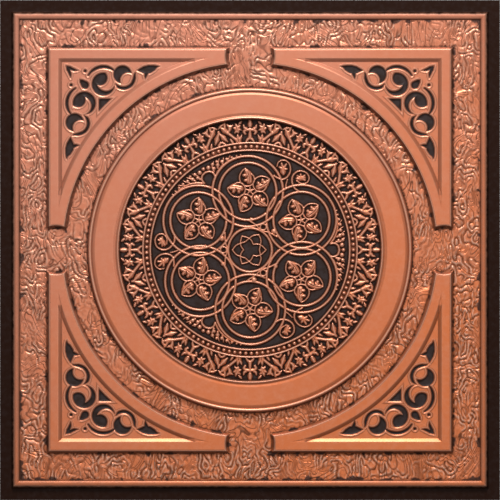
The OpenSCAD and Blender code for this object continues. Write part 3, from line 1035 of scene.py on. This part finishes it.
def patina_and_painted_light(x, y, fine):
    """Shares of brown patina and painted shade, black, painted highlight and hammered field at each point of
    the face.
    """
    tight = sampled(*cavity_map(), x, y)
    d = np.maximum(np.abs(x), np.abs(y))
    r = np.hypot(x, y)
    off = plate_inset(x, y)
    scroll = scroll_sd(x, y)

    # plates, ring and field
    lines = line_patina_and_shade(x, y, d, r, off, scroll)
    wash = np.maximum(lines, ramp(tight, 0.10, 0.5) * 0.6)
    # painted shade on the steep walls of the plates, the ring and the border
    walls = (r > RING_R - 0.5) & (d < BORDER_IN + 2)
    wash = np.where(walls, np.maximum(wash, painted_wall_shade(x, y)), wash)
    # painted highlights: pale copper on raised parts and round the scrollwork's pits
    scroll_rim_highlight = np.where(off > 5, 0.8 * np.exp(-(((scroll - 0.5) / 0.5) ** 2)), 0)
    bright = np.maximum(ramp(-tight, 0.08, 0.5), scroll_rim_highlight)
    # painted highlights on the field's ridges, brown patina in its hollows
    ridges = (r > RING_R + 1) & (d < BORDER_IN - 1) & (off < 0)
    bright = np.where(ridges, 1.5 * ramp(-tight, 0.03, 0.3), bright)
    wash = np.where(ridges, np.maximum(wash, 0.9 * ramp(tight, 0.05, 0.4)), wash)

    # pearls, their rails and what lies inside the ring
    inside = r < RING_IN + 1.2
    z_up = np.where(inside, base_height(x, y) + fine - Z_GROUND, 0)
    pearl = (r > RAIL_IN) & (r < RAIL_R)
    wash = np.where(pearl, 1 - ramp(z_up, 0.4, 1.3), wash)
    # painted highlight on the pearls' tops
    bright = np.where(pearl, 1.3 * ramp(z_up, 1.3, 1.9), bright)
    # brown beside the medallion's lines: patina and painted shade
    wash = np.where(inside & ~pearl, np.maximum(ramp(tight, 0.03, 0.32), lines), wash)
    rails = np.minimum(np.abs(r - RAIL_R), np.abs(r - RAIL_IN))
    wash = np.where(rails < RAIL_W * 0.5, ramp(rails, RAIL_W * 0.3, RAIL_W * 0.5) * 0.8, wash)

    # black rubs along the field's edges and in its corners
    black = black_ground(d, r, off, fine)
    blotch = clouds(x / 15, y / 15, SEED_BLOTCH)
    brink = np.minimum(BORDER_IN - d, 2.5 + np.minimum(-off, r - RING_R))
    corner = np.exp(-((2 * BORDER_IN - np.abs(x) - np.abs(y)) / 16.0) ** 2)
    rub = 0.9 * ramp(1.5 * blotch + 0.3 + 0.7 * corner - brink * 0.11, 0.3, 0.5)
    black = np.where((r > RING_R) & (d < BORDER_IN) & (off < 0.5), np.maximum(black, rub), black)

    # border moulding, darker outwards, and black flange
    border = ramp(d, BORDER_IN - 0.5, BORDER_IN + 0.5)
    wash = np.maximum(wash, border * (0.26 + 0.1 * blotch))
    wash = np.maximum(wash, ramp(d, BORDER_OUT - 7.0, BORDER_OUT - 1.5))
    black = np.maximum(black, ramp(d, BORDER_OUT - 2.2, BORDER_OUT - 0.4))
    grain = ramp(r, RING_R, RING_R + 2) * ramp(-d, -BORDER_IN, -BORDER_IN + 2) * ramp(-off, 0, 1)
    return {"wash": np.clip(wash, 0, 1), "black": np.clip(black, 0, 1), "bright": bright, "field": grain}


# Objects
def make_object(name, v, tris, normals, layers, material):
    """An object of the millimetre mesh, in metres, that stands for the sheet in the CAD."""
    mesh = bpy.data.meshes.new(name)
    mesh.vertices.add(len(v))
    mesh.vertices.foreach_set("co", (v * MM).astype(np.float32).ravel())
    mesh.loops.add(3 * len(tris))
    mesh.loops.foreach_set("vertex_index", tris.astype(np.int32).ravel())
    mesh.polygons.add(len(tris))
    mesh.polygons.foreach_set("loop_start", np.arange(0, 3 * len(tris), 3, dtype=np.int32))
    mesh.polygons.foreach_set("use_smooth", np.ones(len(tris), bool))
    mesh.update(calc_edges=True)
    for key, values in layers.items():
        layer = mesh.attributes.new(key, "FLOAT", "POINT")
        layer.data.foreach_set("value", values.astype(np.float32))
    mesh.normals_split_custom_set_from_vertices(normals.astype(np.float32))
    mesh.materials.append(material)
    obj = bpy.data.objects.new(name, mesh)
    bpy.context.scene.collection.objects.link(obj)
    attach(obj, "root")
    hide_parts("pressed_sheet")


def hem(v, t, n, layers):
    """The cut edge of the flange and the strip of its back that can be seen, added to a piece."""
    edges = np.vstack([t[:, [0, 1]], t[:, [1, 2]], t[:, [2, 0]]])
    edges = edges[(np.abs(v[edges][:, :, :2]).max(2) > HALF - 1e-3).all(1)]
    edges = edges[np.abs(v[edges[:, 0], :2]).argmax(1) == np.abs(v[edges[:, 1], :2]).argmax(1)]
    side = np.unique(edges)
    top, low = v[side], v[side].copy()
    low[:, 2] = 0
    within = low.copy()
    within[:, :2] = np.clip(low[:, :2], -BORDER_OUT - 1, BORDER_OUT + 1)
    out = np.where(np.abs(top[:, :2]) > HALF - 1e-3, np.sign(top[:, :2]), 0.0)
    out /= np.linalg.norm(out, axis=1, keepdims=True)
    out = np.column_stack([out, np.zeros(len(out))])
    down = np.tile([0.0, 0.0, -1.0], (len(side), 1))
    k, m = len(v), len(side)
    at = np.searchsorted(side, edges)
    i, j = at[:, 0], at[:, 1]
    a, b, c, e = k, k + m, k + 2 * m, k + 3 * m
    walls = [np.stack([a + j, a + i, b + i], 1), np.stack([a + j, b + i, b + j], 1),
             np.stack([c + j, c + i, e + i], 1), np.stack([c + j, e + i, e + j], 1)]
    v = np.vstack([v, top, low, low, within])
    n = np.vstack([n, out, out, down, down])
    layers = {key: np.concatenate([values] + [values[side]] * 4) for key, values in layers.items()}
    return v, np.vstack([t] + walls), n, layers


# Materials
def fill(tree, socket, value):
    """Link a socket to another, or give it a plain value."""
    if isinstance(value, bpy.types.NodeSocket):
        tree.links.new(value, socket)
    else:
        socket.default_value = value


def node(tree, kind, **settings):
    made = tree.nodes.new(kind)
    for key, value in settings.items():
        if key in made.inputs:
            fill(tree, made.inputs[key], value)
        else:
            setattr(made, key, value)
    return made


def attribute(tree, name):
    return node(tree, "ShaderNodeAttribute", attribute_name=name).outputs["Fac"]


def blend(tree, factor, a, b):
    mix = node(tree, "ShaderNodeMix", data_type="RGBA", Factor=factor)
    fill(tree, mix.inputs[6], a)
    fill(tree, mix.inputs[7], b)
    return mix.outputs[2]


def math_node(tree, operation, *values):
    made = node(tree, "ShaderNodeMath", operation=operation)
    for socket, value in zip(made.inputs, values):
        fill(tree, socket, value)
    return made.outputs[0]


def noise(tree, coords, scale, detail=4.0):
    made = node(tree, "ShaderNodeTexNoise", Vector=coords, Scale=scale, Detail=detail, Roughness=0.55)
    return made.outputs["Fac"]


def remap(tree, value, lo, hi, to_lo, to_hi):
    made = node(tree, "ShaderNodeMapRange", Value=value)
    for socket, number in zip(made.inputs[1:5], (lo, hi, to_lo, to_hi)):
        socket.default_value = number
    return made.outputs[0]


def bump(tree, height, strength, distance, **below):
    made = node(tree, "ShaderNodeBump", Height=height, Strength=strength, Distance=distance, **below)
    return made.outputs["Normal"]


def new_material(name):
    """A material, its tree, its shader and the coordinates of the object that wears it."""
    made = bpy.data.materials.new(name)
    made.use_nodes = True
    tree = made.node_tree
    coords = node(tree, "ShaderNodeTexCoord").outputs["Object"]
    return made, tree, tree.nodes["Principled BSDF"], coords


COPPER = (0.640, 0.166, 0.052, 1.0)
COPPER_PALE = (0.74, 0.39, 0.265, 1.0)
# pink of the painted sheen towards the upper left
COPPER_PAINTED_SHEEN = (0.645, 0.234, 0.142, 1.0)
BROWN = (0.017, 0.0045, 0.0014, 1.0)
GROUND = (0.042, 0.029, 0.028, 1.0)
GROUND_WARM = (0.031, 0.018, 0.014, 1.0)
FLOOR_GREY = (0.78, 0.78, 0.77, 1.0)
FLOOR_WHITE = (0.82, 0.82, 0.81, 1.0)
BLACK = (0.0, 0.0, 0.0, 1.0)
WHITE = (1.0, 1.0, 1.0, 1.0)


def ripples(tree, coords):
    """Contour lines of a stretched noise: height of the field's ripples, and dark creases along them."""
    stretch = node(tree, "ShaderNodeMapping", Vector=coords, Scale=(1.3, 0.8, 1.0))
    swirl = node(tree, "ShaderNodeTexNoise", Vector=stretch.outputs[0], Scale=17.0, Detail=2.0, Roughness=0.5,
                 Distortion=1.2)
    contour = math_node(tree, "FRACT", math_node(tree, "MULTIPLY", swirl.outputs["Fac"], 16.0))
    ledge = remap(tree, contour, 0.0, 0.22, 1.0, 0.0)
    rise = remap(tree, contour, 0.22, 1.0, 0.0, 1.0)
    beside = math_node(tree, "ABSOLUTE", math_node(tree, "SUBTRACT", contour, 0.2))
    return math_node(tree, "MAXIMUM", ledge, rise), remap(tree, beside, 0.03, 0.12, 0.75, 0.0)


def copper_with_painted_sheen(tree, coords, cloudy, mottle):
    """Bare copper with a painted sheen that makes it pinker to the upper left, with pale flecks and pale
    painted highlights on raised parts.
    """
    place = node(tree, "ShaderNodeSeparateXYZ", Vector=coords).outputs
    # painted sheen: pinker towards the upper left
    across = math_node(tree, "SUBTRACT", place["Y"], math_node(tree, "MULTIPLY", place["X"], 0.6))
    drift = remap(tree, cloudy, 0.3, 0.7, -0.12, 0.12)
    base = blend(tree, math_node(tree, "ADD", remap(tree, across, -0.26, 0.32, 0.0, 1.0), drift),
                 COPPER, COPPER_PAINTED_SHEEN)
    base = blend(tree, remap(tree, mottle, 0.42, 0.72, 0.0, 0.14), base, COPPER_PALE)
    # painted highlights in pale copper on raised parts
    return blend(tree, math_node(tree, "MULTIPLY", attribute(tree, "bright"), 0.65), base, COPPER_PALE)


def copper_material():
    made, tree, shader, coords = new_material("antique_copper")
    cloudy = noise(tree, coords, 14.0, 3.0)
    mottle = noise(tree, coords, 160.0, 5.0)
    field = attribute(tree, "field")
    black = attribute(tree, "black")
    ripple, crease = ripples(tree, coords)

    ground = blend(tree, remap(tree, mottle, 0.4, 0.65, 0.0, 1.0), GROUND, GROUND_WARM)
    base = blend(tree, black, copper_with_painted_sheen(tree, coords, cloudy, mottle), ground)
    patchy = remap(tree, noise(tree, coords, 30.0, 2.0), 0.35, 0.6, 0.15, 1.0)
    creases = math_node(tree, "MULTIPLY", math_node(tree, "MULTIPLY", crease, field), patchy)
    uneven = remap(tree, mottle, 0.3, 0.7, 0.8, 1.1)
    # brown patina and painted shade, with dark creases in the field
    brown_and_shade = math_node(tree, "MAXIMUM", math_node(tree, "MULTIPLY", attribute(tree, "wash"), uneven), creases)
    fill(tree, shader.inputs["Base Color"], blend(tree, brown_and_shade, base, BROWN))

    dull = math_node(tree, "MAXIMUM", brown_and_shade, black)
    rough = remap(tree, cloudy, 0.3, 0.7, 0.36, 0.43)
    rough = math_node(tree, "ADD", rough, math_node(tree, "MULTIPLY", dull, 0.12))
    fill(tree, shader.inputs["Roughness"], rough)
    fill(tree, shader.inputs["Metallic"], remap(tree, dull, 0.1, 0.9, 0.6, 0.1))
    fill(tree, shader.inputs["Coat Weight"], remap(tree, dull, 0.1, 0.7, 0.15, 0.0))
    shader.inputs["Coat Roughness"].default_value = 0.32
    fill(tree, shader.inputs["Specular IOR Level"], remap(tree, dull, 0.1, 0.9, 0.3, 0.1))

    grain = bump(tree, noise(tree, coords, 900.0, 3.0), 0.12, 0.0003)
    waves = bump(tree, math_node(tree, "MULTIPLY", ripple, field), 0.8, 0.0005, Normal=grain)
    fill(tree, shader.inputs["Normal"], waves)
    return made


def floor_material():
    made, tree, shader, coords = new_material("plain_floor")
    shader.inputs["Roughness"].default_value = 0.9
    tint = blend(tree, remap(tree, noise(tree, coords, 3.0), 0.3, 0.7, 0.0, 1.0), FLOOR_GREY, FLOOR_WHITE)
    fill(tree, shader.inputs["Base Color"], tint)
    return made


# Building it all
def face_mesh():
    """Points, triangles and fine relief of the whole face."""
    disc = hex_disc(RINGS, DISC_R)
    bands = annulus([DISC_R] + corner_radii(ROUND_PATH, DISC_R, RING_IN, BAND_ROWS)[1:], COLUMNS)
    ring = annulus(corner_radii(ROUND_PATH, RING_IN, RING_R, RING_ROWS), COLUMNS)
    pts, tris = plan([disc, bands, ring, all_round(*eighth())])
    z, fine = face_height(pts[:, 0], pts[:, 1])
    return np.column_stack([pts, z]), tris, fine


def build_sheet():
    """The face, cut into eight objects that share their edges."""
    v, tris, fine = face_mesh()
    normals = vertex_normals(v, tris)
    layers = patina_and_painted_light(v[:, 0], v[:, 1], fine)
    material = copper_material()
    x, y, _ = v[tris].mean(1).T
    r = np.hypot(x, y)
    regions = {
        "medallion_upper": (r < DISC_R) & (y > 0),
        "medallion_lower": (r < DISC_R) & (y < 0),
        "leaf_band": (r > DISC_R) & (r < RING_IN),
        "ring_moulding": (r > RING_IN) & (r < RING_R),
        "corner_ne": (r > RING_R) & (x > 0) & (y > 0),
        "corner_nw": (r > RING_R) & (x < 0) & (y > 0),
        "corner_sw": (r > RING_R) & (x < 0) & (y < 0),
        "corner_se": (r > RING_R) & (x > 0) & (y < 0),
    }
    for name, region in regions.items():
        used, faces = np.unique(tris[region], return_inverse=True)
        data = {key: values[used] for key, values in layers.items()}
        mesh = v[used], faces.reshape(-1, 3), normals[used], data
        if "corner" in name:
            mesh = hem(*mesh)
        make_object(name, *mesh, material)


def add_floor():
    bpy.ops.mesh.primitive_plane_add(size=12, location=(0, 0, -0.0002))
    floor = bpy.context.object
    floor.name = "floor"
    floor.data.materials.append(floor_material())


def add_sky():
    """White for the camera, and for the metal a soft grey that darkens towards the horizon."""
    world = bpy.data.worlds.new("studio")
    bpy.context.scene.world = world
    world.use_nodes = True
    tree = world.node_tree
    up = node(tree, "ShaderNodeSeparateXYZ", Vector=node(tree, "ShaderNodeTexCoord").outputs["Generated"])
    shade = blend(tree, remap(tree, up.outputs["Z"], 0.0, 0.9, 0.05, 0.40), BLACK, WHITE)
    ray = node(tree, "ShaderNodeLightPath").outputs["Is Camera Ray"]
    sky = tree.nodes["Background"]
    fill(tree, sky.inputs["Color"], blend(tree, ray, shade, WHITE))
    sky.inputs["Strength"].default_value = 1.0


def area_light(name, where, size, power):
    """A round light that points at the tile's centre."""
    data = bpy.data.lights.new(name, "AREA")
    data.shape = "DISK"
    data.size = size
    data.energy = power
    made = bpy.data.objects.new(name, data)
    made.location = where
    made.rotation_euler = (-made.location).to_track_quat("-Z", "Y").to_euler()
    bpy.context.scene.collection.objects.link(made)


def add_camera():
    """A long lens straight above, with the tile filling the frame."""
    data = bpy.data.cameras.new("camera")
    data.lens = 200.0
    data.sensor_width = 36.0
    camera = bpy.data.objects.new("camera", data)
    camera.location = (0.0, 0.0, TILE_W * MM * data.lens / data.sensor_width)
    bpy.context.scene.collection.objects.link(camera)
    bpy.context.scene.camera = camera


build_sheet()
add_floor()
add_sky()
area_light("top_light", (0.05, 1.7, 1.35), 0.7, 47.0)
area_light("soft_light", (0.15, -0.1, 2.4), 1.5, 5.5)
add_camera()
bpy.context.scene.view_settings.view_transform = "Standard"
